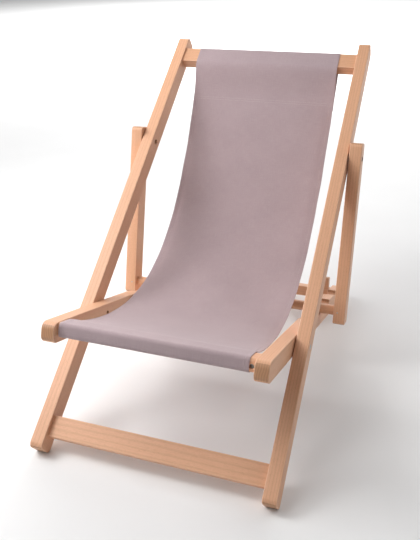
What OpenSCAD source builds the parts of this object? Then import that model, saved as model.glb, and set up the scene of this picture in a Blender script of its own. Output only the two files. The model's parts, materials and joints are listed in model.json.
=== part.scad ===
// Folding deck chair. Two long legs carry the back, two seat arms cross them low down, and
// a pair of props leans from the legs into a rack of three notches cut in the seat arms.
// One sheet of canvas hangs from the top rail to the front rail of the seat.
// +Z is up, the chair faces -Y, and the origin is on the ground under its middle.

/* [Posture] */
// Rack notch that the prop rests in, from the most upright to the most reclined
rest_notch = 1; // [1, 2, 3]

/* [Long frame] */
// Width over the two long legs
frame_width = 546; // [520:2:600]
// Thickness of every leg, arm and prop, across the chair
stock = 30; // [28:1:32]
// Length of a long leg
leg_length = 1196; // [1180:1:1240]
// Depth of a long leg, from its front face to its back face
leg_depth = 46; // [44:1:50]
// Distance from the foot to the seat pivot, along the leg
seat_pivot = 335; // [330:1:340]
// Distance from the foot to the prop pivot, along the leg
prop_pivot = 834; // [828:1:840]
// Width of the stretchers and rails
rail_width = 46.5; // [44:0.5:48]
// Thickness of the top rail and of both seat rails
rail_thick = 29; // [26:0.5:30]
// Thickness of the front stretcher
stretcher_thick = 20; // [16:0.5:24]

/* [Seat frame] */
// Depth of a seat arm, from its top face to its underside
arm_depth = 44; // [42:1:48]
// Length of the arm in front of the seat pivot
arm_nose = 240; // [236:1:246]
// Length of the arm behind the seat pivot
arm_tail = 700; // [690:1:720]
// Gap between a seat arm and its long leg
seat_gap = 2; // [1.5:0.1:3]
// Distance from the seat pivot to the first, most upright notch
notch_1_at = 313; // [308:1:318]
// Distance from the seat pivot to the second notch
notch_2_at = 440; // [434:1:446]
// Distance from the seat pivot to the third, most reclined notch
notch_3_at = 594; // [588:1:598]

/* [Props] */
// Depth of a prop, from its front face to its back face
prop_depth = 45; // [42:1:48]
// Length of the prop above its pivot
prop_above = 38; // [34:1:44]
// Length of the prop below its pivot
prop_below = 420; // [416:1:430]
// Gap between a prop and its long leg
prop_gap = 2.5; // [2:0.1:3.5]
// Diameter of the dowel that joins the props and sits in the rack
dowel_d = 25; // [24:0.5:26]
// Distance from the prop pivot to the dowel
dowel_reach = 389; // [386:1:392]

/* [Canvas] */
// Width of the sheet
sling_width = 398; // [360:2:400]
// Thickness of the sheet
sling_thick = 1.6; // [1:0.1:2]

/* [Hidden] */

$fn = 64;
left = -1;
right = 1;
beech = "burlywood";
canvas = "rosybrown";
zinc = "silver";
black_steel = "dimgray";

// Faces of the members, as distances from the middle of the chair
leg_in = frame_width / 2 - stock;
leg_out = frame_width / 2;
arm_out = leg_in - seat_gap;
arm_in = arm_out - stock;
prop_in = leg_out + prop_gap;
prop_out = prop_in + stock;

// Rounded corners of the members, seen from the side
end_round = 12;
nose_round = 16;
tail_round = 3;
prop_round = 9;
prop_top_round = 10;
rail_round = 8;

// Where the rails sit: first edge along the member, and how far in from its front or top face
stretcher_at = 30.5;
stretcher_inset = 11.3;
top_rail_at = 1111.5;
top_rail_inset = 5.4;
front_rail_at = -226;
front_rail_inset = 1.5;
rear_rail_at = 608;

// Stub tenons on the rails
tenon_length = 18;
tenon_shoulder = 7;
tenon_play = 0.1;

// Rack: pocket height above the arm's middle, play round the dowel, and lead-in lengths
pocket_n = 23.2;
pocket_play = 0.5;
pocket_r = dowel_d / 2 + pocket_play;
notch_lead = 69;
first_lead = 153;
first_floor = 58;
notch_at = [notch_1_at, notch_2_at, notch_3_at];
stop_width = 21;
stop_depth = 24;
stop_height = 35;

// Hardware
bolt_d = 6;
running_play = 0.05;
head_d = 14;
head_h = 4.5;
head_sunk = 3.2;
recess_d = 14.6;
key_d = 4.6;
key_depth = 2.5;
nut_d = 9.6;
nut_length = 11;
nut_socket_d = 5;
nut_socket_depth = 5;
counterbore_d = 10.4;
leg_counterbore_d = 16;
counterbore_depth = 16;
face_play = 0.1;
washer_d = 18;
pin_d = 2;
pin_head_d = 3.6;
pin_head_h = 0.8;
pin_length = 30;
socket_depth = 20;
barrel_d = 10;
barrel_length = 18;
barrel_inset = 8;
barrel_sunk = 5;
barrel_slot = 1.4;
barrel_slot_depth = 2;
tie_at = front_rail_at + barrel_sunk + barrel_length / 2;
tie_n = 4;
tie_length = 35;
tie_in_arm = 20;

// Canvas: clearance round the rails, the seam that closes each loop, and the curve's handles
wrap_play = 0.3;
top_seam = [1078, -19];
front_seam = [-171, 15];
top_handle = 215;
top_angle = 22;
front_handle = 537;
front_angle = 11.3;
sling_steps = 32;

// Turn a point about the origin
function turned(p, a) = [p[0] * cos(a) - p[1] * sin(a), p[0] * sin(a) + p[1] * cos(a)];

// The triangle of seat pivot, prop pivot and dowel fixes both angles at each notch
pivot_span = prop_pivot - seat_pivot;
function notch_reach(k) = norm([notch_at[k - 1], pocket_n]);
function fold_at(k) =
    acos((pow(pivot_span, 2) + pow(notch_reach(k), 2) - pow(dowel_reach, 2))
        / (2 * pivot_span * notch_reach(k)))
    + atan2(pocket_n, notch_at[k - 1]);
function swing_at(k) =
    acos((pow(pivot_span, 2) + pow(dowel_reach, 2) - pow(notch_reach(k), 2))
        / (2 * pivot_span * dowel_reach));
fold = fold_at(rest_notch);
swing = swing_at(rest_notch);

// The ground touches the round at the foot's heel and the round under the arm's tail
foot_centre = [end_round, end_round - leg_depth / 2];
heel_on_arm = [arm_tail - end_round, end_round - arm_depth / 2];
heel_centre = [seat_pivot, 0] + turned(heel_on_arm, -fold);
ground_run = heel_centre - foot_centre;
lean = -atan2(ground_run[1], ground_run[0]);

// Side view positions before the chair is centred over the origin
function raw_leg(p) = turned(p, lean);
function raw_arm(p) = raw_leg([seat_pivot, 0] + turned(p, -fold));
lift = end_round - raw_leg(foot_centre)[1];
foremost = min(
    raw_leg([end_round, leg_depth / 2 - end_round])[0] - end_round,
    raw_arm([nose_round - arm_nose, nose_round - arm_depth / 2])[0] - nose_round);
rearmost = max(
    raw_leg([leg_length - end_round, end_round - leg_depth / 2])[0] + end_round,
    raw_arm([arm_tail - tail_round, arm_depth / 2 - tail_round])[0] + tail_round);
foot = [-(foremost + rearmost) / 2, lift];

// Points in the side view: y towards the back, z up
function leg_point(p) = foot + raw_leg(p);
function arm_point(p) = foot + raw_arm(p);
function along(a) = [cos(a), sin(a)];

// Cubic curve through its end points, with a handle at each end
function curve(a, b, c, d, u) =
    pow(1 - u, 3) * a + 3 * pow(1 - u, 2) * u * b + 3 * (1 - u) * u * u * c + pow(u, 3) * d;

// Placement: local y runs along the member and local z towards its front or top face
module on_leg() translate([0, foot[0], foot[1]]) rotate([lean, 0, 0]) children();
module on_arm() on_leg() translate([0, seat_pivot, 0]) rotate([-fold, 0, 0]) children();
module on_prop() on_leg() translate([0, prop_pivot, 0]) rotate([swing, 0, 0]) children();
module sided(side) mirror([side < 0 ? 1 : 0, 0, 0]) children();

// A side view outline made solid from x = near to x = far
module across(near, far)
    translate([near, 0, 0]) rotate([90, 0, 90]) linear_extrude(far - near) children();

// A round bar or bore along x
module cross_rod(near, far, d) across(near, far) circle(d = d);

// Waste outside a rounded corner; into is the direction from the corner into the board
module corner_waste(corner, into, r)
    translate(corner) difference() {
        translate([min(-1, into[0] * r), min(-1, into[1] * r)]) square(r + 1);
        translate(into * r) circle(r);
    }

// A board seen from the side, with its own round at each corner, counted from the low end
module board(from, to, low, high, rounds) {
    difference() {
        translate([from, low]) square([to - from, high - low]);
        corner_waste([from, low], [1, 1], rounds[0]);
        corner_waste([to, low], [-1, 1], rounds[1]);
        corner_waste([to, high], [-1, -1], rounds[2]);
        corner_waste([from, high], [1, -1], rounds[3]);
    }
}

// A rail between two members, with a stub tenon on each end
module tenoned_rail(from, thick, high, reach) {
    across(-reach, reach) translate([from, high - thick]) square([rail_width, thick]);
    tenons(from, thick, high, reach, 0);
}
module tenons(from, thick, high, reach, play)
    across(-reach - tenon_length - play, reach + tenon_length + play)
        translate([from + tenon_shoulder - play, high - thick + tenon_shoulder - play])
            square([rail_width - 2 * (tenon_shoulder - play), thick - 2 * (tenon_shoulder - play)]);

// Where each rail's front or top face lies on its member
stretcher_high = leg_depth / 2 - stretcher_inset;
top_rail_high = leg_depth / 2 - top_rail_inset;
front_rail_high = arm_depth / 2 - front_rail_inset;
rear_rail_high = arm_depth / 2;

module long_leg(side) {
    corners = [end_round, end_round, end_round, end_round];
    color(beech) on_leg() difference() {
        sided(side) across(leg_in, leg_out)
            board(0, leg_length, -leg_depth / 2, leg_depth / 2, corners);
        tenons(stretcher_at, stretcher_thick, stretcher_high, leg_in, tenon_play);
        tenons(top_rail_at, rail_thick, top_rail_high, leg_in, tenon_play);
        sided(side) for (at = [seat_pivot, prop_pivot]) translate([0, at, 0])
            cross_rod(leg_in - 1, leg_out + 1, bolt_d + 2 * running_play);
        sided(side) translate([0, prop_pivot, 0])
            cross_rod(leg_in - 1, leg_in + counterbore_depth, leg_counterbore_d);
        sided(side) translate([0, seat_pivot, 0]) head_recess(leg_out);
    }
}

module top_rail() {
    color(beech) on_leg() tenoned_rail(top_rail_at, rail_thick, top_rail_high, leg_in);
}

module front_stretcher() {
    color(beech) on_leg() tenoned_rail(stretcher_at, stretcher_thick, stretcher_high, leg_in);
}

// Waste of one rack notch: a lead-in that falls from the top face, a round pocket for the
// dowel and a steep rear wall. The first notch's floor also follows the dowel's own swing.
module notch(k) {
    at = notch_at[k - 1];
    top = arm_depth / 2 + 1;
    lead = k == 1 ? first_lead : notch_lead;
    floor_n = pocket_n - pocket_r;
    translate([at, pocket_n]) circle(pocket_r);
    translate([at, pocket_n]) square([pocket_r, top]);
    if (k == 1) {
        swing_centre = pivot_span * along(fold_at(1));
        lead_end = at - first_floor;
        intersection() {
            translate(swing_centre) circle(dowel_reach + pocket_r, $fn = 180);
            translate([lead_end, 0]) square([first_floor, top]);
        }
        polygon([[at - lead, arm_depth / 2], [lead_end, floor_n - 1], [lead_end, top],
            [at - lead, top]]);
    } else {
        polygon([[at - lead, arm_depth / 2], [at, floor_n], [at, top], [at - lead, top]]);
    }
}

module seat_arm(side) {
    rounds = [nose_round, end_round, tail_round, nose_round];
    color(beech) on_arm() difference() {
        sided(side) across(arm_in, arm_out) difference() {
            board(-arm_nose, arm_tail, -arm_depth / 2, arm_depth / 2, rounds);
            for (k = [1:3]) notch(k);
        }
        tenons(rear_rail_at, rail_thick, rear_rail_high, arm_in, tenon_play);
        sided(side) {
            cross_rod(arm_in - 1, arm_out + 1, bolt_d + 2 * running_play);
            cross_rod(arm_in - 1, arm_in + counterbore_depth, counterbore_d);
            translate([0, tie_at, tie_n])
                cross_rod(arm_in - 1, arm_in + tie_in_arm, bolt_d + 2 * running_play);
        }
    }
}

module front_rail_outline()
    board(front_rail_at, front_rail_at + rail_width, front_rail_high - rail_thick,
        front_rail_high, [rail_round, rail_round, rail_round, rail_round]);

module seat_front_rail() {
    color(beech) on_arm() difference() {
        across(-arm_in, arm_in) front_rail_outline();
        for (side = [left, right]) sided(side) {
            translate([arm_in - barrel_inset, front_rail_at - 1, tie_n]) rotate([-90, 0, 0])
                cylinder(h = 1 + barrel_sunk + barrel_length, d = barrel_d + 2 * running_play);
            translate([0, tie_at, tie_n])
                cross_rod(arm_in + tie_in_arm - tie_length, arm_in + 1,
                    bolt_d + 2 * running_play);
        }
    }
}

module seat_rear_rail() {
    color(beech) on_arm() tenoned_rail(rear_rail_at, rail_thick, rear_rail_high, arm_in);
}

// Upright block on the rear rail, against the arm, that keeps the dowel in the rack
module rack_stop(side) {
    high = rear_rail_high + stop_height;
    rounds = [1, 1, tail_round, tail_round];
    color(beech) on_arm() sided(side) across(arm_in - stop_width, arm_in)
        board(rear_rail_at, rear_rail_at + stop_depth, rear_rail_high, high, rounds);
}

module prop_leg(side) {
    rounds = [prop_round, prop_top_round, prop_top_round, prop_round];
    color(beech) on_prop() difference() {
        sided(side) across(prop_in, prop_out)
            board(-prop_below, prop_above, -prop_depth / 2, prop_depth / 2, rounds);
        sided(side) {
            cross_rod(prop_in - 1, prop_out + 1, bolt_d + 2 * running_play);
            head_recess(prop_out);
        }
        translate([0, -dowel_reach, 0]) {
            sided(side)
                cross_rod(prop_in - 1, prop_in + socket_depth, dowel_d + 2 * running_play);
            pins(running_play);
        }
    }
}

module prop_dowel() {
    color(beech) on_prop() translate([0, -dowel_reach, 0]) difference() {
        cross_rod(-prop_in - socket_depth, prop_in + socket_depth, dowel_d);
        pins(running_play);
    }
}

// Headed pins driven through each prop's front face into the dowel
module pins(play) {
    for (side = [left, right])
        translate([side * (prop_in + socket_depth / 2), 0, prop_depth / 2]) {
            translate([0, 0, -pin_length]) cylinder(h = pin_length, d = pin_d + 2 * play);
            translate([0, 0, -pin_head_h]) cylinder(h = pin_head_h, d = pin_head_d + 2 * play);
        }
}
module dowel_pins() {
    color(zinc) on_prop() translate([0, -dowel_reach, 0]) pins(0);
}

// Closed loop of canvas round a rail's outline, drawn out to the seam that closes the loop
module loop(seam) {
    difference() {
        offset(r = wrap_play + sling_thick) loop_core(seam) children();
        offset(r = wrap_play) loop_core(seam) children();
    }
}
module loop_core(seam)
    hull() {
        children();
        translate(seam) circle(r = wrap_play, $fn = 16);
    }

module sling() {
    half = sling_width / 2;
    start = leg_point(top_seam);
    rail_corner = [front_rail_at + rail_width - rail_round, front_rail_high - rail_round];
    corner_reach = rail_round + wrap_play + sling_thick / 2;
    finish = arm_point(rail_corner + corner_reach * along(90 - front_angle));
    start_handle = start - top_handle * along(lean + top_angle);
    finish_handle = finish + front_handle * along(lean - fold - front_angle);
    middle = [for (i = [0:sling_steps])
        curve(start, start_handle, finish_handle, finish, i / sling_steps)];
    across_curve = [for (i = [0:sling_steps])
        let (before = middle[max(i - 1, 0)], after = middle[min(i + 1, sling_steps)])
        turned(after - before, 90) / norm(after - before) * sling_thick / 2];
    color(canvas) union() {
        on_leg() across(-half, half) loop(top_seam)
            translate([top_rail_at, top_rail_high - rail_thick]) square([rail_width, rail_thick]);
        across(-half, half) polygon(concat(middle + across_curve,
            [for (i = [sling_steps:-1:0]) middle[i] - across_curve[i]]));
        on_arm() across(-half, half) loop(front_seam) front_rail_outline();
    }
}

// Shallow recess that a bolt head lies in
module head_recess(face)
    cross_rod(face - head_sunk, face + 1, recess_d);

// Domed bolt whose head lies in its recess and whose shank ends inside the sleeve nut
module pivot_bolt(face, nut_face) {
    across_head = face - head_sunk + face_play;
    cross_rod(nut_face + nut_socket_depth, across_head + 1, bolt_d);
    translate([across_head, 0, 0]) rotate([0, 90, 0]) difference() {
        rotate_extrude() intersection() {
            square([head_d / 2, head_h]);
            translate([0, -head_d / 2]) circle(head_h + head_d / 2);
        }
        translate([0, 0, head_h - key_depth]) cylinder(h = key_depth + 1, d = key_d, $fn = 6);
    }
}
module upper_bolt(side) {
    color(black_steel) on_leg() translate([0, prop_pivot, 0]) sided(side)
        pivot_bolt(prop_out, leg_in + counterbore_depth - face_play - nut_length);
}
module lower_bolt(side) {
    color(zinc) on_leg() translate([0, seat_pivot, 0]) sided(side)
        pivot_bolt(leg_out, arm_in + counterbore_depth - face_play - nut_length);
}

// Sleeve nut, sunk in its counterbore, with a round key socket in the end that shows
module sleeve_nut(inner_face) {
    deep_end = inner_face + counterbore_depth - face_play;
    difference() {
        cross_rod(deep_end - nut_length, deep_end, nut_d);
        cross_rod(deep_end - nut_length - 1, deep_end - nut_length + nut_socket_depth,
            nut_socket_d);
        cross_rod(deep_end - nut_length + nut_socket_depth, deep_end + 1,
            bolt_d + 2 * running_play);
    }
}
module upper_nut(side) {
    color(black_steel) on_leg() translate([0, prop_pivot, 0]) sided(side) sleeve_nut(leg_in);
}
module lower_nut(side) {
    color(black_steel) on_leg() translate([0, seat_pivot, 0]) sided(side) sleeve_nut(arm_in);
}

// Washer that keeps two members apart at a pivot
module pivot_washer(near, far)
    difference() {
        cross_rod(near + face_play, far - face_play, washer_d);
        cross_rod(near, far, bolt_d + 2 * running_play);
    }
module upper_washer(side) {
    color(zinc) on_leg() translate([0, prop_pivot, 0]) sided(side)
        pivot_washer(leg_out, prop_in);
}
module lower_washer(side) {
    color(zinc) on_leg() translate([0, seat_pivot, 0]) sided(side)
        pivot_washer(arm_out, leg_in);
}

// Cross-drilled barrel nuts in the nose of the front rail, slotted for a driver
module rail_barrel_nuts() {
    color(zinc) on_arm() for (side = [left, right]) sided(side) difference() {
        translate([arm_in - barrel_inset, front_rail_at + barrel_sunk, tie_n])
            rotate([-90, 0, 0]) cylinder(h = barrel_length, d = barrel_d);
        translate([0, tie_at, tie_n])
            cross_rod(0, arm_in, bolt_d + 2 * running_play);
        translate([arm_in - barrel_inset - barrel_d, front_rail_at, tie_n - barrel_slot / 2])
            cube([2 * barrel_d, barrel_sunk + barrel_slot_depth, barrel_slot]);
    }
}

// Bolts that tie the front rail to the seat arms through the barrel nuts
module rail_tie_bolts() {
    color(zinc) on_arm() for (side = [left, right]) sided(side) translate([0, tie_at, tie_n])
        cross_rod(arm_in + tie_in_arm - tie_length, arm_in + tie_in_arm, bolt_d);
}

long_leg(left);  // long_leg_left
long_leg(right);  // long_leg_right
top_rail();
front_stretcher();
seat_arm(left);  // seat_arm_left
seat_arm(right);  // seat_arm_right
seat_front_rail();
seat_rear_rail();
rack_stop(left);  // rack_stop_left
rack_stop(right);  // rack_stop_right
prop_leg(left);  // prop_leg_left
prop_leg(right);  // prop_leg_right
prop_dowel();
dowel_pins();
sling();
upper_bolt(left);  // upper_bolt_left
upper_bolt(right);  // upper_bolt_right
upper_nut(left);  // upper_nut_left
upper_nut(right);  // upper_nut_right
upper_washer(left);  // upper_washer_left
upper_washer(right);  // upper_washer_right
lower_bolt(left);  // lower_bolt_left
lower_bolt(right);  // lower_bolt_right
lower_nut(left);  // lower_nut_left
lower_nut(right);  // lower_nut_right
lower_washer(left);  // lower_washer_left
lower_washer(right);  // lower_washer_right
rail_barrel_nuts();
rail_tie_bolts();
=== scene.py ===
"""Folding deck chair: oiled beech, a sewn canvas sling, black and zinc fittings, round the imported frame."""

import json
import math

import bmesh
import bpy
import numpy as np
from mathutils import Matrix, Vector, noise


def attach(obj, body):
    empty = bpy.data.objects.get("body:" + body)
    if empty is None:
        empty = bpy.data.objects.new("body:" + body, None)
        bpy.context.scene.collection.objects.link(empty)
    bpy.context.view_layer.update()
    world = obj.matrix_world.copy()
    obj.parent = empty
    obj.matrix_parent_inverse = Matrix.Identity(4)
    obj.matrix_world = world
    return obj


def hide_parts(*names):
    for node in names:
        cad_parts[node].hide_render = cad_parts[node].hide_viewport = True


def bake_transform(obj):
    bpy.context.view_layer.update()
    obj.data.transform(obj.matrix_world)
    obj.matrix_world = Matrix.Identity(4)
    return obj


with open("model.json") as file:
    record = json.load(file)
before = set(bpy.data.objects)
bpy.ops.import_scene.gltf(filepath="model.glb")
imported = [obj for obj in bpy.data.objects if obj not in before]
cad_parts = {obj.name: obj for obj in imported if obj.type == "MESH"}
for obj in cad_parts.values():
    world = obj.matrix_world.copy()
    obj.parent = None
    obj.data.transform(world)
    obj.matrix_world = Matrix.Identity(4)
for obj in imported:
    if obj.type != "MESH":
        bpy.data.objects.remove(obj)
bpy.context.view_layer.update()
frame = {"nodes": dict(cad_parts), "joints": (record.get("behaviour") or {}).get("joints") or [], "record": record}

MM = 0.001
BODIES = frame["record"]["behaviour"]["bodies"]
BODY_OF = {node: body for body, nodes in BODIES.items() for node in nodes}
JOINTS = {joint["name"]: joint for joint in frame["joints"]}
SLOT_OF = {row["node"]: row["material_slot"] for row in frame["record"]["subparts"]}

# ------------------------------------------------------------------ camera, light and floor

CAMERA_PLACE = (0.4988, -1.4805, 1.0114)
CAMERA_YAW = 19.52
CAMERA_PITCH = -22.65
CAMERA_ROLL = -0.57
CAMERA_LENS = 46.13
CAMERA_SHIFT_Y = -0.0603
CAMERA_SENSOR = 36
CAMERA_CLIP = 0.05
FLOOR_SIZE = 40


def make_camera():
    data = bpy.data.cameras.new("camera")
    data.lens = CAMERA_LENS
    data.sensor_width = CAMERA_SENSOR
    data.shift_y = CAMERA_SHIFT_Y
    data.clip_start = CAMERA_CLIP
    camera = bpy.data.objects.new("camera", data)
    turn = (Matrix.Rotation(math.radians(CAMERA_YAW), 4, "Z")
            @ Matrix.Rotation(math.radians(90 + CAMERA_PITCH), 4, "X")
            @ Matrix.Rotation(math.radians(CAMERA_ROLL), 4, "Z"))
    camera.matrix_world = Matrix.Translation(CAMERA_PLACE) @ turn
    bpy.context.scene.collection.objects.link(camera)
    bpy.context.scene.camera = camera


LIGHT_TARGET = Vector((0, 0, 0.35))
WORLD_STRENGTH = 0.2


def soft_box(name, place, size, power, target=LIGHT_TARGET):
    """A square area light aimed at a point, which is the chair unless another is given."""
    data = bpy.data.lights.new(name, "AREA")
    data.shape = "SQUARE"
    data.size = size
    data.energy = power
    light = bpy.data.objects.new(name, data)
    light.location = place
    light.rotation_euler = (target - Vector(place)).to_track_quat("-Z", "Y").to_euler()
    bpy.context.scene.collection.objects.link(light)


def make_studio():
    """Soft boxes round the chair, one more over the floor behind it, a dim white world and a wide floor."""
    soft_box("key", (-1.5, -0.6, 1.6), 0.9, 28)
    soft_box("left", (-1.5, 0.2, 1.2), 0.9, 8)
    soft_box("over_left", (-0.8, -0.5, 2.1), 0.9, 8)
    soft_box("low_left", (-3.15, 0, 0.9), 1.3, 14)
    soft_box("front_left", (-1.23, -2.12, 2.4), 1.3, 14)
    soft_box("back_right", (2.27, 1.31, 2.19), 1.3, 20)
    soft_box("backdrop", (-1.5, 8, 4), 8, 1100, Vector((-1.5, 8.5, 0)))
    world = bpy.data.worlds.new("studio")
    bpy.context.scene.world = world
    world.use_nodes = True
    background = world.node_tree.nodes["Background"]
    background.inputs["Color"].default_value = (1, 1, 1, 1)
    background.inputs["Strength"].default_value = WORLD_STRENGTH
    bpy.context.scene.view_settings.view_transform = "Standard"
    bpy.ops.mesh.primitive_plane_add(size=FLOOR_SIZE)
    floor = bpy.context.object
    floor.name = "floor"
    floor.data.materials.append(floor_material())


# ------------------------------------------------------------------ materials


class Shader:
    """A material's node tree, with short calls to add and join nodes."""

    def __init__(self, name):
        self.material = bpy.data.materials.new(name)
        self.material.use_nodes = True
        self.tree = self.material.node_tree
        self.surface = self.tree.nodes["Principled BSDF"]

    def add(self, kind, values=None, **settings):
        node = self.tree.nodes.new("ShaderNode" + kind)
        for key, value in settings.items():
            setattr(node, key, value)
        for socket, value in (values or {}).items():
            self.put(node.inputs[socket], value)
        return node

    def put(self, socket, value):
        """Sets a socket, or joins it to another node's output."""
        if isinstance(value, bpy.types.NodeSocket):
            self.tree.links.new(value, socket)
        else:
            socket.default_value = value

    def attribute(self, name):
        return self.add("Attribute", attribute_name=name)

    def math(self, operation, a, b=0.0, c=0.0):
        return self.add("Math", {0: a, 1: b, 2: c}, operation=operation).outputs[0]

    def scaled(self, vector, scale, shift=(0, 0, 0)):
        return self.add("Mapping", {"Vector": vector, "Scale": scale, "Location": shift}).outputs[0]

    def noise(self, vector, scale, detail=2.0, rough=0.5):
        values = {"Vector": vector, "Scale": scale, "Detail": detail, "Roughness": rough}
        return self.add("TexNoise", values).outputs["Fac"]

    def ramp(self, value, stops):
        node = self.add("ValToRGB", {0: value})
        elements = node.color_ramp.elements
        while len(elements) < len(stops):
            elements.new(0.5)
        for element, (place, colour) in zip(elements, stops):
            element.position = place
            element.color = (*colour, 1)
        return node.outputs[0]

    def share(self, value, low, high, most):
        """How much of a layer shows: none where value is under low, most where it is over high."""
        return self.math("MULTIPLY", self.ramp(value, [(low, grey(0)), (high, grey(1))]), most)

    def mix(self, share, a, b):
        """Colour a with a share of colour b over it; each is a colour or another node's output."""
        node = self.add("Mix", data_type="RGBA")
        self.put(node.inputs[0], share)
        for socket, value in ((6, a), (7, b)):
            self.put(node.inputs[socket], (*value, 1) if isinstance(value, tuple) else value)
        return node.outputs[2]

    def finish(self, **values):
        """Sets the surface's sockets, with _ for a space in their names, and returns the material."""
        for name, value in values.items():
            self.put(self.surface.inputs[name.replace("_", " ")], value)
        return self.material

    def bump(self, height, strength, distance):
        values = {"Height": height, "Strength": strength, "Distance": distance}
        return self.add("Bump", values).outputs[0]


def grey(value):
    return (value, value, value)


BEECH_DARK = (0.730, 0.388, 0.232)
BEECH_MID = (0.795, 0.432, 0.262)
BEECH_LIGHT = (0.845, 0.482, 0.305)
# darker colour mixed onto some pieces: a small tone step on most, and painted shade on the pieces that sit under
# the sling
BEECH_DARKER_TONE_AND_SHADE = (0.66, 0.34, 0.18)
LATE_WOOD = (0.50, 0.245, 0.125)
WOOD_STREAK = (0.52, 0.27, 0.145)
RAY_FLECK = (0.42, 0.20, 0.10)
WOOD_MOTTLE = (0.90, 0.63, 0.45)
END_LIGHT = (0.54, 0.285, 0.155)
END_DARK = (0.33, 0.155, 0.075)
# painted highlight: a paler colour for the rounded arrises, standing in for the light they catch
ARRIS_PAINTED_HIGHLIGHT = (0.93, 0.66, 0.48)
CANVAS_LIGHT = (0.445, 0.337, 0.356)
CANVAS_DARK = (0.405, 0.304, 0.323)
CANVAS_SLUB = (0.62, 0.53, 0.53)
CANVAS_GAP = (0.20, 0.145, 0.15)
CANVAS_NAP = (0.60, 0.50, 0.50)
WEAVE_PERIOD = 0.85 * MM
THREAD_DARK = (0.47, 0.38, 0.385)
THREAD_LIGHT = (0.60, 0.51, 0.51)
BLACK_DARK = (0.018, 0.017, 0.017)
BLACK_LIGHT = (0.05, 0.047, 0.045)
ZINC_DARK = (0.40, 0.39, 0.36)
ZINC_LIGHT = (0.66, 0.64, 0.60)


def floor_material():
    s = Shader("pale_floor")
    place = s.add("TexCoord").outputs["Object"]
    cloud = s.noise(place, 2.0, 3.0)
    colour = s.ramp(cloud, [(0.3, grey(0.80)), (0.7, grey(0.83))])
    return s.finish(Base_Color=colour, Roughness=0.9)


def beech_material():
    """Oiled beech: growth rings, long streaks and short ray flecks, with darker ends, a painted highlight on the
    arrises, and a darker tone per piece that is painted shade on the pieces under the sling.
    """
    s = Shader("oiled_beech")
    member = s.attribute("member").outputs["Vector"]
    end = s.attribute("end_grain").outputs["Fac"]
    arris_highlight = s.attribute("arris_highlight").outputs["Fac"]
    tone_and_shade = s.attribute("tone_and_shade").outputs["Fac"]
    drift = s.noise(s.scaled(member, (9, 1.6, 9)), 1.0, 3.0)
    rings = s.add("TexWave", {
        "Vector": s.scaled(member, (1, 0.06, 1), (0.028, 0, 0.034)), "Scale": 62.0,
        "Distortion": 3.2, "Detail": 2.0, "Detail Scale": 0.6, "Detail Roughness": 0.55,
    }, wave_type="RINGS", rings_direction="Y").outputs["Fac"]
    streak = s.noise(s.scaled(member, (420, 14, 420)), 1.0, 3.0, 0.6)
    fleck = s.noise(s.scaled(member, (1500, 190, 1500)), 1.0, 1.0, 0.5)
    mottle = s.noise(s.scaled(member, (260, 60, 260)), 1.0, 2.0, 0.6)
    base = s.ramp(drift, [(0.25, BEECH_DARK), (0.5, BEECH_MID), (0.75, BEECH_LIGHT)])
    # darker tone per piece, which is painted shade on the rear rail, dowel and rack stops under the sling
    toned_and_shaded = s.mix(tone_and_shade, base, BEECH_DARKER_TONE_AND_SHADE)
    late = s.mix(s.share(rings, 0.55, 1.0, 0.28), toned_and_shaded, LATE_WOOD)
    streaked = s.mix(s.share(streak, 0.35, 0.75, 0.24), late, WOOD_STREAK)
    flecked = s.mix(s.share(fleck, 0.55, 0.72, 0.36), streaked, RAY_FLECK)
    mottled = s.mix(s.math("MULTIPLY", mottle, 0.14), flecked, WOOD_MOTTLE)
    ends = s.mix(s.share(rings, 0.3, 0.9, 0.36), END_LIGHT, END_DARK)
    with_ends = s.mix(end, mottled, ends)
    # painted highlight: the arris faces are mixed towards a paler colour
    colour = s.mix(s.math("MULTIPLY", arris_highlight, 0.22), with_ends, ARRIS_PAINTED_HIGHLIGHT)
    rough = s.math("MULTIPLY_ADD", streak, 0.16, 0.40)
    relief = s.math("ADD", s.math("MULTIPLY", streak, 0.6), s.math("MULTIPLY", fleck, 0.5))
    normal = s.bump(relief, 0.35, 0.0003)
    return s.finish(Base_Color=colour, Roughness=rough, Normal=normal, Coat_Weight=0.06,
                    Coat_Roughness=0.35, Specular_IOR_Level=0.42)


def canvas_material():
    """Plain-weave canvas: over-and-under threads in two directions, slubs and a faint nap."""
    s = Shader("mauve_canvas")
    cloth = s.attribute("cloth").outputs["Vector"]
    split = s.add("SeparateXYZ", {0: cloth})
    turns = 2 * math.pi / WEAVE_PERIOD
    warp = s.math("SINE", s.math("MULTIPLY", split.outputs[0], turns))
    weft = s.math("SINE", s.math("MULTIPLY", split.outputs[1], turns))
    weave = s.math("MULTIPLY", warp, weft)
    slub = s.noise(s.scaled(cloth, (900, 45, 1)), 1.0, 2.0, 0.6)
    cross_slub = s.noise(s.scaled(cloth, (40, 900, 1)), 1.0, 2.0, 0.6)
    cloud = s.noise(cloth, 9.0, 4.0, 0.6)
    fuzz = s.noise(cloth, 520.0, 2.0, 0.6)
    threads = s.math("ADD", s.math("MULTIPLY", slub, 0.5), s.math("MULTIPLY", cross_slub, 0.5))
    base = s.mix(s.ramp(cloud, [(0.3, grey(0)), (0.7, grey(1))]), CANVAS_LIGHT, CANVAS_DARK)
    slubbed = s.mix(s.share(threads, 0.42, 0.66, 0.22), base, CANVAS_SLUB)
    woven = s.mix(s.math("MULTIPLY_ADD", weave, 0.07, 0.07), slubbed, CANVAS_GAP)
    colour = s.mix(s.math("MULTIPLY", fuzz, 0.10), woven, CANVAS_NAP)
    height = s.math("ADD", s.math("MULTIPLY", weave, 0.5), s.math("MULTIPLY", threads, 0.8))
    normal = s.bump(height, 0.45, 0.00025)
    return s.finish(Base_Color=colour, Roughness=0.88, Normal=normal, Sheen_Weight=0.25,
                    Sheen_Roughness=0.45, Specular_IOR_Level=0.25)


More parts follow.
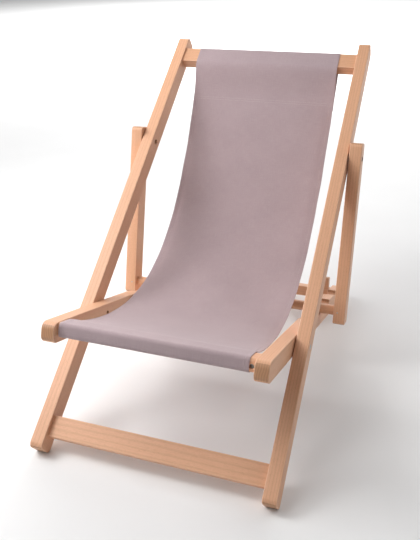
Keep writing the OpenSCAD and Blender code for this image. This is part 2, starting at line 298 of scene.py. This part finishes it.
def thread_material():
    s = Shader("sewing_thread")
    place = s.add("TexCoord").outputs["Object"]
    twist = s.noise(place, 1800.0, 2.0)
    colour = s.ramp(twist, [(0.3, THREAD_DARK), (0.7, THREAD_LIGHT)])
    return s.finish(Base_Color=colour, Roughness=0.6, Normal=s.bump(twist, 0.4, 0.0002))


def metal_material(name, dark, light, metallic, rough):
    """Plated steel: a patchy finish with fine scratches."""
    s = Shader(name)
    place = s.add("TexCoord").outputs["Object"]
    patch = s.noise(place, 160.0, 4.0, 0.6)
    scratch = s.noise(s.scaled(place, (400, 4000, 4000)), 1.0, 2.0)
    colour = s.ramp(patch, [(0.3, dark), (0.7, light)])
    roughness = s.math("MULTIPLY_ADD", scratch, 0.25, rough)
    return s.finish(Base_Color=colour, Roughness=roughness, Metallic=metallic,
                    Normal=s.bump(scratch, 0.2, 0.0002))


# ------------------------------------------------------------------ side view of the chair


class Side:
    """A member seen from the side: distance along it, and out of its front or top face."""

    def __init__(self, origin, direction):
        self.origin = np.array(origin[1:], float)
        self.along = np.array(direction, float)
        self.front = np.array((-self.along[1], self.along[0]))

    def point(self, along, front):
        return self.origin + self.along * along + self.front * front

    def points(self, pairs):
        return np.array([self.point(*pair) for pair in pairs])

    def measure(self, place):
        """Distances along the member and out of its face, the reverse of point()."""
        gap = place - self.origin
        return gap @ self.along, gap @ self.front

    def extent(self, node, inset=0.0):
        """(lowest, highest) along the member and out of its face, over a node's vertices, less an inset."""
        co = np.array([v.co for v in frame["nodes"][node].data.vertices])[:, 1:]
        along, front = self.measure(co)
        return along.min() + inset, along.max() - inset, front.min() + inset, front.max() - inset


def unit(v):
    return v / np.linalg.norm(v)


MERGE_DISTANCE = 1e-6
FLAT_ANGLE = math.radians(0.3)


def merged_mesh(node):
    """A node's mesh as bmesh, with split vertices joined and flat faces merged."""
    bm = bmesh.new()
    bm.from_mesh(frame["nodes"][node].data)
    bmesh.ops.remove_doubles(bm, verts=bm.verts, dist=MERGE_DISTANCE)
    bmesh.ops.dissolve_limit(bm, angle_limit=FLAT_ANGLE, verts=bm.verts, edges=bm.edges)
    bm.normal_update()
    return bm


def longest_edge(bm):
    """The direction of a mesh's longest edge, turned to point rearwards, or to +X if it lies across."""
    edge = max(bm.edges, key=lambda e: e.calc_length())
    direction = (edge.verts[1].co - edge.verts[0].co).normalized()
    return direction if direction.y + 0.1 * direction.x > 0 else -direction


seat_pivot = Vector(JOINTS["seat_lift"]["pos_m"])
prop_pivot = Vector(JOINTS["prop_swing"]["pos_m"])
leg_side = Side(seat_pivot, unit(np.array((prop_pivot - seat_pivot)[1:])))
right_arm = merged_mesh("seat_arm_right")
arm_side = Side(seat_pivot, np.array(longest_edge(right_arm)[1:]))
right_arm.free()

# ------------------------------------------------------------------ wood

ARRIS_RADIUS = 1.8 * MM
ARRIS_STEPS = 3
SHARP = math.radians(40)
SAME_PLANE = 1e-5
OUTLINE_AT_LEAST = 0.08
RAIL_EDGE_SHARE = 0.7
END_FACE = 0.8
GRAIN_SHIFT = np.array((0.013, 0.31, 0.017))
GRAIN_SHIFT_GROWTH = 1.7
TONE_STEP = 0.12
RAILS = ("top_rail", "front_stretcher", "seat_front_rail", "seat_rear_rail", "prop_dowel")
WOOD = [node for node in SLOT_OF if SLOT_OF[node] == "beech"]
# how far each piece is mixed towards the darker colour: the rear rail, the prop dowel and the rack stops sit in
# the sling's shade and are darkened as painted shade; the front stretcher takes a given tone and the rest take
# small tone steps
TONES_AND_PAINTED_SHADE = {"seat_rear_rail": 0.55, "prop_dowel": 0.75, "rack_stop_left": 0.5,
         "rack_stop_right": 0.5, "front_stretcher": 0.25}


def sharp_convex(edge):
    return len(edge.link_faces) == 2 and edge.calc_face_angle_signed(0) > SHARP


def total_length(edges):
    return sum(e.calc_length() for e in edges)


def outline_edges(bm):
    """Sharp edges round the outline of each flat side of a member, leaving out bores and mortises."""
    chosen = set()
    for x in {round(v.co.x, 5) for v in bm.verts}:
        flat = {e for e in bm.edges if sharp_convex(e)
                and all(abs(v.co.x - x) < SAME_PLANE for v in e.verts)}
        groups = []
        while flat:
            group, waiting = set(), [flat.pop()]
            while waiting:
                edge = waiting.pop()
                group.add(edge)
                near = {e for v in edge.verts for e in v.link_edges if e in flat}
                flat -= near
                waiting += near
            groups.append(group)
        if groups:
            longest = max(groups, key=total_length)
            if total_length(longest) > OUTLINE_AT_LEAST:
                chosen |= longest
    return chosen


def long_arrises(bm):
    """Sharp edges that run along a rail, from shoulder to shoulder."""
    longest = max(e.calc_length() for e in bm.edges)
    return {e for e in bm.edges if sharp_convex(e) and e.calc_length() > RAIL_EDGE_SHARE * longest}


def store(mesh, name, values, domain="POINT"):
    """Stores numbers or vectors on a mesh, for its material to read."""
    kind, field = ("FLOAT_VECTOR", "vector") if np.ndim(values) == 2 else ("FLOAT", "value")
    attribute = mesh.attributes.new(name, kind, domain)
    attribute.data.foreach_set(field, np.asarray(values, np.float32).ravel())


def add_piece(name, mesh, material):
    piece = bpy.data.objects.new(name, mesh)
    bpy.context.scene.collection.objects.link(piece)
    mesh.materials.clear()
    mesh.materials.append(material)
    return piece


def make_wood(node, index, material):
    """A CAD member with its arrises eased, and its grain direction stored for the material."""
    bm = merged_mesh(node)
    rail = node in RAILS
    grain = Vector((1, 0, 0)) if rail else longest_edge(bm)
    if node.startswith("rack_stop"):
        grain = Vector((0, *arm_side.front))
    if node == "prop_dowel":
        edges = set()
    else:
        edges = long_arrises(bm) if rail else outline_edges(bm)
    made = bmesh.ops.bevel(bm, geom=list(edges), offset=ARRIS_RADIUS, segments=ARRIS_STEPS,
                           profile=0.5, affect="EDGES", clamp_overlap=False)
    arris_faces = set(made["faces"])
    arris_highlight = [1.0 if f in arris_faces else 0.0 for f in bm.faces]
    ends = [1.0 if abs(f.normal.dot(grain)) > END_FACE else 0.0 for f in bm.faces]
    mesh = bpy.data.meshes.new(node + "_wood")
    bm.to_mesh(mesh)
    bm.free()
    across = Vector((0, *leg_side.along)) if rail else Vector((1, 0, 0))
    out = grain.cross(across)
    co = np.array([v.co for v in mesh.vertices])
    shift = GRAIN_SHIFT * (index * GRAIN_SHIFT_GROWTH + 1)
    member = np.stack([co @ np.array(across), co @ np.array(grain), co @ np.array(out)], 1)
    store(mesh, "member", member + shift)
    store(mesh, "end_grain", ends, "FACE")
    # marks the arris faces, where the material paints a highlight
    store(mesh, "arris_highlight", arris_highlight, "FACE")
    # stores each piece's share of the darker colour, painted shade on the pieces under the sling
    store(mesh, "tone_and_shade", np.full(len(co), TONES_AND_PAINTED_SHADE.get(node, TONE_STEP * (index % 3))))
    mesh.shade_smooth()
    mesh.set_sharp_from_angle(angle=SHARP)
    piece = add_piece(node + "_wood", mesh, material)
    weighted = piece.modifiers.new("flat_faces_first", "WEIGHTED_NORMAL")
    weighted.keep_sharp = True
    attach(piece, BODY_OF[node])
    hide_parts(node)


# ------------------------------------------------------------------ canvas sling

CLOTH_HALF = 0.45 * MM
CLOTH_CLEAR = 0.35 * MM
HEM_WIDTH = 11.5 * MM
HEM_STITCH = 9 * MM
TAIL = 24 * MM
TAIL_START = 0.5 * MM
LAYER_GAP = 2 * CLOTH_HALF + 0.1 * MM
CURVE_START = (1.078, -0.019)
TOP_HANDLE = 0.215
TOP_ANGLE = math.radians(22)
SEAM_DROP = 0.045
BULGE_HANDLE = 0.020
SEAM_HANDLE = 0.040
FRONT_HANDLE = 0.537
FRONT_ANGLE = math.radians(11.3)
FRONT_ROUND = 8 * MM
FRONT_SEAM_BACK = 8 * MM
RUN_STEP = 4 * MM
ARC_STEP = math.radians(11)
RUN_POINTS = 280
BULGE_POINTS = 26
HALF_WIDTH = 0.1985
WAIST = 4.5 * MM
LEFT_FLARE = 9 * MM
FLARE_LENGTH = 0.16
HEM_COLUMNS_MM = (0, 0.5, 1.2, 2.5, 4.5, 6.5, 8.0, 8.6, 9.0, 9.4, 10.2, 11.2, 11.8, 12.6, 15, 20)
INNER_COLUMNS_MM = range(27, 198, 7)
NOISE_GAIN = 1.6
HANG_FADE_TOP = 0.05
HANG_FADE_FRONT = 0.04
WAIST_POWER = 0.8
WANDER = 0.7 * MM
WANDER_POWER = 6
HEM_SOFTEN = (HEM_WIDTH - 0.4 * MM, HEM_WIDTH + 0.5 * MM)
HEM_RISE = 0.3 * MM
HEM_UNDER = 0.62 * MM
STITCH_GROOVE = 0.4 * MM
GROOVE_WIDTH = 0.5 * MM
EDGE_WIDTH = 1.2 * MM
EDGE_THIN = 0.45
DRAPE = 1.2 * MM
GATHER = 0.55 * MM
GATHER_REACH = 0.05
PUCKER = 0.35 * MM
PUCKER_REACH = (8 * MM, 30 * MM)
CURL = 2.2 * MM
CURL_REACH = 26 * MM
SEAM_GROOVE = 0.15 * MM
SEAM_GROOVE_WIDTH = 0.8 * MM
SEAM_LINES = (3 * MM, 9 * MM)
CLOTH_SHARP = math.radians(60)


def right_of(direction):
    return np.array((direction[1], -direction[0]))


def turned(v, angle):
    c, s = math.cos(angle), math.sin(angle)
    return np.array((v[0] * c - v[1] * s, v[0] * s + v[1] * c))


def straight(a, b):
    """Evenly spaced points from a towards b, without b."""
    count = max(2, int(np.linalg.norm(b - a) / RUN_STEP) + 1)
    return [a + (b - a) * i / count for i in range(count)]


def string_round(start, centres, radii, end):
    """A taut string from start to end that keeps round corner centres on its left."""
    stops = [np.array(start), *map(np.array, centres), np.array(end)]
    rounds = [0.0, *radii, 0.0]
    ways = []
    for (a, ra), (b, rb) in zip(zip(stops, rounds), list(zip(stops, rounds))[1:]):
        gap = b - a
        lift = math.asin((ra - rb) / np.linalg.norm(gap))
        ways.append(turned(unit(gap), lift))
    path, here = [], stops[0]
    for centre, radius, before, after in zip(stops[1:-1], radii, ways, ways[1:]):
        touch = centre + right_of(before) * radius
        path += straight(here, touch)
        turn = math.atan2(before[0] * after[1] - before[1] * after[0], before @ after)
        count = max(1, int(abs(turn) / ARC_STEP) + 1)
        path += [centre + turned(right_of(before), turn * i / count) * radius for i in range(count)]
        here = centre + right_of(after) * radius
    return path + straight(here, stops[-1]) + [stops[-1]]


def bezier(a, b, c, d, count):
    u = np.linspace(0, 1, count)[:, None]
    return (1 - u) ** 3 * a + 3 * (1 - u) ** 2 * u * b + 3 * (1 - u) * u * u * c + u ** 3 * d


def normals_of(path):
    """Unit normals of a side view path, on its right; for the sling's path that is its upper face."""
    steps = np.gradient(path, axis=0)
    steps /= np.linalg.norm(steps, axis=1)[:, None]
    return np.stack([steps[:, 1], -steps[:, 0]], 1)


def lengths_of(path):
    return np.concatenate([[0], np.cumsum(np.linalg.norm(np.diff(path, axis=0), axis=1))])


def hem_tail(run, side, nearest, furthest):
    """Points one layer off a run, between two distances along it; side is -1 against its normals."""
    gap = side * LAYER_GAP
    return [point + normal * gap for point, normal, length in zip(run, normals_of(run), lengths_of(run))
            if nearest <= length <= furthest]


def sling_path():
    """The canvas in the side view: the top tail, round the top rail, the free run, round the front rail
    and the front tail. Also gives the rows where the run starts, the run ends and the front tail starts.
    The run is part of one curve from CURVE_START, measured along the leg from its foot and out of its face;
    the curve's first SEAM_DROP is left out."""
    leg_foot = leg_side.extent("long_leg_right")[0]
    a0, a1, n0, n1 = leg_side.extent("top_rail", ARRIS_RADIUS)
    top_corners = [(a0, n0), (a1, n0), (a1, n1)]
    r = ARRIS_RADIUS + CLOTH_CLEAR + CLOTH_HALF
    b0, b1, m0, m1 = arm_side.extent("seat_front_rail", FRONT_ROUND)
    front_corners = [(b0, m1), (b0, m0), (b1, m0)]
    rf = FRONT_ROUND + CLOTH_CLEAR + CLOTH_HALF
    leave = np.array((b1, m1)) + rf * np.array((math.sin(FRONT_ANGLE), math.cos(FRONT_ANGLE)))
    start = leg_side.point(leg_foot + CURVE_START[0], CURVE_START[1])
    finish = arm_side.point(*leave)
    run = bezier(start, start + TOP_HANDLE * turned(-leg_side.along, TOP_ANGLE),
                 finish + FRONT_HANDLE * turned(arm_side.along, -FRONT_ANGLE), finish, RUN_POINTS)
    run = run[int(np.searchsorted(lengths_of(run), SEAM_DROP)):]
    top_tail = hem_tail(run, -1, TAIL_START, TAIL)[::-1]
    loop_start = leg_side.measure(top_tail[-1])
    top_loop = leg_side.points(string_round(loop_start, top_corners, [r] * 3, (a0, n1 + r)))
    bulge = bezier(top_loop[-1], top_loop[-1] - BULGE_HANDLE * leg_side.along,
                   run[0] - SEAM_HANDLE * unit(run[1] - run[0]), run[0], BULGE_POINTS)
    top_loop = np.concatenate([top_loop[:-1], bulge])
    front_tail = hem_tail(run[::-1], 1, FRONT_SEAM_BACK, FRONT_SEAM_BACK + TAIL)
    loop_end = arm_side.measure(front_tail[0])
    front_loop = arm_side.points(string_round(leave, front_corners, [rf] * 3, loop_end))
    path = [*top_tail[:-1], *top_loop[:-1], *run[:-1], *front_loop[:-1], *front_tail]
    ends = np.cumsum([len(top_tail) - 1, len(top_loop) - 1, len(run) - 1, len(front_loop) - 1])
    return np.array(path), ends[1:]


def columns():
    """Places across the sling from -1 to 1, close together at the hems."""
    half = [1 - inset * MM / HALF_WIDTH for inset in [*HEM_COLUMNS_MM, *INNER_COLUMNS_MM]]
    return np.array([-v for v in half] + half[::-1])


def smooth(value, low, high):
    t = np.clip((value - low) / (high - low), 0, 1)
    return t * t * (3 - 2 * t)


def soft_noise(across, along, scale, seed):
    """Smooth noise over the cloth, about -1 to 1."""
    out = np.empty(across.shape)
    for index in np.ndindex(across.shape):
        out[index] = noise.noise((across[index] * scale[0], along[index] * scale[1], seed))
    return out * NOISE_GAIN


def bump_at(values, place, width):
    """A soft bump: 1 where a value is at the place, and about a third a width away from it."""
    return np.exp(-((values - place) / width) ** 2)


def make_sling(material, thread):
    """The canvas: one closed sheet round its path, with hems, seams, slack and soft wear in its shape."""
    path, (run_start, run_end, tail_start) = sling_path()
    normals = normals_of(path)
    lengths = lengths_of(path)
    start, finish = lengths[run_start], lengths[run_end]
    v = columns()
    run_share = np.clip((lengths - start) / (finish - start), 0, 1)
    half = HALF_WIDTH - WAIST * np.sin(math.pi * run_share) ** WAIST_POWER
    hangs_from = smooth(lengths, start, start + HANG_FADE_TOP)
    free = (hangs_from * (1 - smooth(lengths, finish - HANG_FADE_FRONT, finish)))[:, None]
    along = np.repeat(lengths[:, None], len(v), 1)
    wander = soft_noise(np.sign(v)[None, :] * np.ones_like(along) * 3, along, (1, 14), 4.0)
    flare = LEFT_FLARE * smooth(lengths, finish - FLARE_LENGTH, finish)
    across = v[None, :] * half[:, None] - flare[:, None] * np.clip(-v, 0, 1)[None, :]
    across = across + wander * WANDER * np.abs(v)[None, :] ** WANDER_POWER * free
    inset = (1 - np.abs(v))[None, :] * half[:, None]
    hem = 1 - smooth(inset, *HEM_SOFTEN)
    stitch = bump_at(inset, HEM_STITCH, GROOVE_WIDTH)
    thickness = CLOTH_HALF * (1 - EDGE_THIN * (1 - smooth(inset, 0, EDGE_WIDTH)))
    drape = soft_noise(across, along, (5, 7), 1.0) * DRAPE
    near_rails = bump_at(lengths, start, GATHER_REACH) + bump_at(lengths, finish, GATHER_REACH)
    gather = soft_noise(across, along, (34, 6), 7.0) * GATHER * near_rails[:, None]
    pucker = soft_noise(across, along, (20, 95), 12.0) * PUCKER * (1 - smooth(inset, *PUCKER_REACH))
    curl = CURL * (1 - smooth(inset, 0, CURL_REACH)) * free
    seams = (bump_at(lengths, start + SEAM_LINES[0], SEAM_GROOVE_WIDTH)
             + bump_at(lengths, finish - FRONT_SEAM_BACK - SEAM_LINES[0], SEAM_GROOVE_WIDTH))
    shift = (drape + gather + pucker - curl) * free
    upper = thickness + HEM_RISE * hem - STITCH_GROOVE * stitch - SEAM_GROOVE * seams[:, None]
    lower = thickness + HEM_UNDER * hem * free

    def surface(offset):
        side = path[:, None, :] + normals[:, None, :] * offset[:, :, None]
        return np.concatenate([across[:, :, None], side], 2)

    grid_top, grid_low = surface(shift + upper), surface(shift - lower)
    rows, cols = across.shape
    points = np.concatenate([grid_top.reshape(-1, 3), grid_low.reshape(-1, 3)])
    at = np.arange(rows * cols).reshape(rows, cols)
    low = at + rows * cols
    faces = quads(at[:-1, :-1], at[:-1, 1:], at[1:, 1:], at[1:, :-1])
    faces += quads(low[:-1, :-1], low[1:, :-1], low[1:, 1:], low[:-1, 1:])
    rim = list(at[0, :]) + list(at[1:, -1]) + list(at[-1, -2::-1]) + list(at[-2:0:-1, 0])
    rim_low = [i + rows * cols for i in rim]
    count = len(rim)
    faces += [(rim[i], rim_low[i], rim_low[(i + 1) % count], rim[(i + 1) % count])
              for i in range(count)]
    mesh = bpy.data.meshes.new("canvas_sling")
    mesh.from_pydata(points.tolist(), [], faces)
    cloth = np.stack([across, along, np.zeros_like(along)], 2).reshape(-1, 3)
    store(mesh, "cloth", np.concatenate([cloth, cloth]))
    mesh.shade_smooth()
    mesh.set_sharp_from_angle(angle=CLOTH_SHARP)
    sling = add_piece("canvas_sling", mesh, material)
    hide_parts("sling")
    bend(sling)
    hem_run = start + HEM_RUN_TOP, lengths[tail_start] - HEM_RUN_FRONT
    seam_rows = ([start + line for line in SEAM_LINES]
                 + [finish - FRONT_SEAM_BACK - line for line in SEAM_LINES])
    stitches = make_stitches(thread, path, grid_top, grid_low, v, half, hem_run, seam_rows)


def quads(a, b, c, d):
    return list(zip(a.ravel().tolist(), b.ravel().tolist(), c.ravel().tolist(), d.ravel().tolist()))


def bend(piece):
    """Bakes a piece of the sling's placement into its mesh."""
    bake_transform(piece)


STITCH_PITCH = 3.6 * MM
STITCH_LENGTH = 2.7 * MM
STITCH_RADIUS = 0.32 * MM
STITCH_SIDES = 6
STITCH_RINGS = ((-0.5, 0.35), (-0.3, 1.0), (0.3, 1.0), (0.5, 0.35))
HEM_RUN_TOP = 4 * MM
HEM_RUN_FRONT = 2 * MM
SEAM_INSET_LEFT = 3 * MM
SEAM_INSET_RIGHT = 5 * MM


def stitch_shape():
    """One stitch along +X: a slim bead with narrow ends, as points and faces."""
    turns = [k * math.tau / STITCH_SIDES for k in range(STITCH_SIDES)]
    points = [(x * STITCH_LENGTH, r * STITCH_RADIUS * math.cos(t), r * STITCH_RADIUS * math.sin(t))
              for x, r in STITCH_RINGS for t in turns]
    rings = np.arange(len(points)).reshape(len(STITCH_RINGS), STITCH_SIDES)
    faces = []
    for ring, after in zip(rings, rings[1:]):
        faces += quads(ring, np.roll(ring, -1), np.roll(after, -1), after)
    faces += [tuple(rings[0, ::-1].tolist()), tuple(rings[-1].tolist())]
    return np.array(points), faces


def sample(grid, rows, cols):
    """Bilinear sample of a grid of points at fractional rows and columns."""
    r0 = np.clip(np.floor(rows).astype(int), 0, grid.shape[0] - 2)
    c0 = np.clip(np.floor(cols).astype(int), 0, grid.shape[1] - 2)
    fr, fc = (rows - r0)[:, None], (cols - c0)[:, None]
    return ((grid[r0, c0] * (1 - fr) + grid[r0 + 1, c0] * fr) * (1 - fc)
            + (grid[r0, c0 + 1] * (1 - fr) + grid[r0 + 1, c0 + 1] * fr) * fc)


def make_stitches(material, path, grid_top, grid_low, v, half, hem_run, seam_rows):
    """Stitches down both hems on both faces of the cloth, and across both seams on its upper face."""
    shape, faces = stitch_shape()
    normals, lengths = normals_of(path), lengths_of(path)
    row_numbers, column_numbers = np.arange(len(lengths)), np.arange(len(v))
    points, polygons = [], []

    def face_normals(middle):
        nearest = np.array([np.argmin(((path - p) ** 2).sum(1)) for p in middle[:, 1:]])
        return np.concatenate([np.zeros((len(middle), 1)), normals[nearest]], 1)

    def sew(first, second):
        middle = (first + second) / 2
        x = (second - first) / np.linalg.norm(second - first, axis=1)[:, None]
        z = np.cross(np.cross(x, face_normals(middle)), x)
        side = np.cross(z, x)
        for centre, ax, ay, az in zip(middle, x, side, z):
            base = len(points)
            points.extend(centre + shape @ np.stack([ax, ay, az]))
            polygons.extend(tuple(base + i for i in face) for face in faces)

    run = np.arange(*hem_run, STITCH_PITCH)
    first_rows = np.interp(run, lengths, row_numbers)
    second_rows = np.interp(run + STITCH_LENGTH, lengths, row_numbers)
    hem_share = 1 - HEM_STITCH / half.mean()
    for sign in (-1, 1):
        column = np.full(len(run), np.interp(sign * hem_share, v, column_numbers))
        for grid in (grid_top, grid_low):
            sew(sample(grid, first_rows, column), sample(grid, second_rows, column))
    across = np.arange(-HALF_WIDTH + SEAM_INSET_LEFT, HALF_WIDTH - SEAM_INSET_RIGHT, STITCH_PITCH)
    for length in seam_rows:
        row = np.interp(length, lengths, row_numbers)
        width = np.interp(row, row_numbers, half)
        first_columns = np.interp(across / width, v, column_numbers)
        second_columns = np.interp((across + STITCH_LENGTH) / width, v, column_numbers)
        rows = np.full(len(across), row)
        sew(sample(grid_top, rows, first_columns), sample(grid_top, rows, second_columns))
    mesh = bpy.data.meshes.new("sling_stitches")
    mesh.from_pydata([tuple(p) for p in points], [], polygons)
    mesh.shade_smooth()
    stitches = add_piece("sling_stitches", mesh, material)
    bend(stitches)
    return stitches


# ------------------------------------------------------------------ build


def finish_hardware():
    """The CAD hardware keeps its shape and takes detailed metal."""
    black = metal_material("black_oxide_steel", BLACK_DARK, BLACK_LIGHT, metallic=0.75, rough=0.32)
    zinc = metal_material("zinc_plate", ZINC_DARK, ZINC_LIGHT, metallic=1.0, rough=0.25)
    looks = {"black_hardware": black, "zinc_hardware": zinc}
    for node, slot in SLOT_OF.items():
        if slot in looks:
            mesh = frame["nodes"][node].data
            mesh.materials.clear()
            mesh.materials.append(looks[slot])


make_camera()
make_studio()
beech = beech_material()
for number, wood_node in enumerate(WOOD):
    make_wood(wood_node, number, beech)
make_sling(canvas_material(), thread_material())
finish_hardware()
